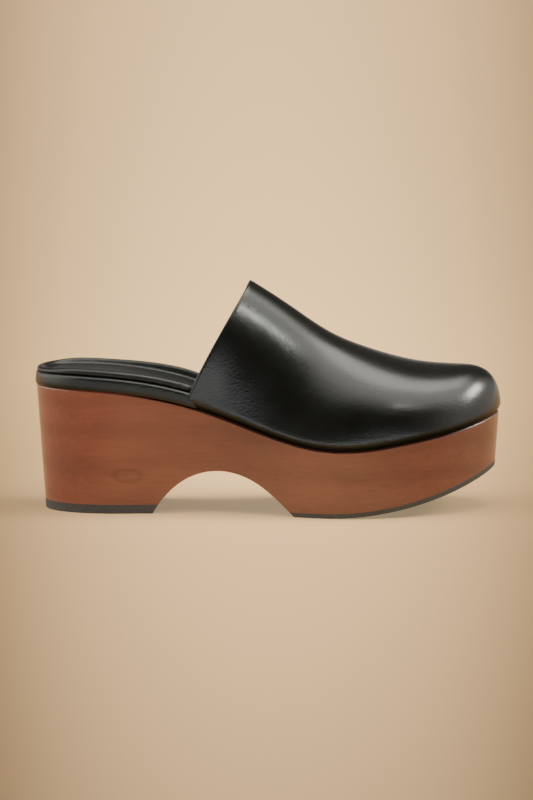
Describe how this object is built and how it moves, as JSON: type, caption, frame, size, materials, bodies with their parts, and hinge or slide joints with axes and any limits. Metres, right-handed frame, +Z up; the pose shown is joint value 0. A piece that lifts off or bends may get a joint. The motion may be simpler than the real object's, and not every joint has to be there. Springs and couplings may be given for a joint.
{
  "type": "clog",
  "caption": "Slip-on clog with an arched wooden platform, a block heel, a closed leather vamp, a padded leather sock and rubber treads.",
  "frame": {"origin": "middle of the bounding box, on the ground under the sole", "axes": "+X from the heel to the toe, +Y from the outer side of the foot to the inner side, +Z up"},
  "size_m": [0.256, 0.0932, 0.1253],
  "materials": {
    "stained_wood": "satin",
    "tread_rubber": "matte",
    "steel": "satin",
    "cork": "matte",
    "fibre_board": "matte",
    "band_leather": "satin",
    "foam": "matte",
    "sock_leather": "satin",
    "upper_leather": "satin",
    "stiffener": "matte",
    "interlining_cloth": "matte",
    "lining_leather": "matte"
  },
  "bodies": {
    "root": {"wooden_sole": "stained_wood", "heel_top_piece": "tread_rubber", "forepart_outsole": "tread_rubber", "heel_nails": "steel", "insole_screws": "steel", "bottom_filler": "cork", "insole_board": "fibre_board", "insole_wrap": "band_leather", "sock_foam": "foam", "sock_cover": "sock_leather", "vamp_outer": "upper_leather", "toe_puff": "stiffener", "vamp_interlining": "interlining_cloth", "vamp_lining": "lining_leather"}
  },
  "joints": []
}
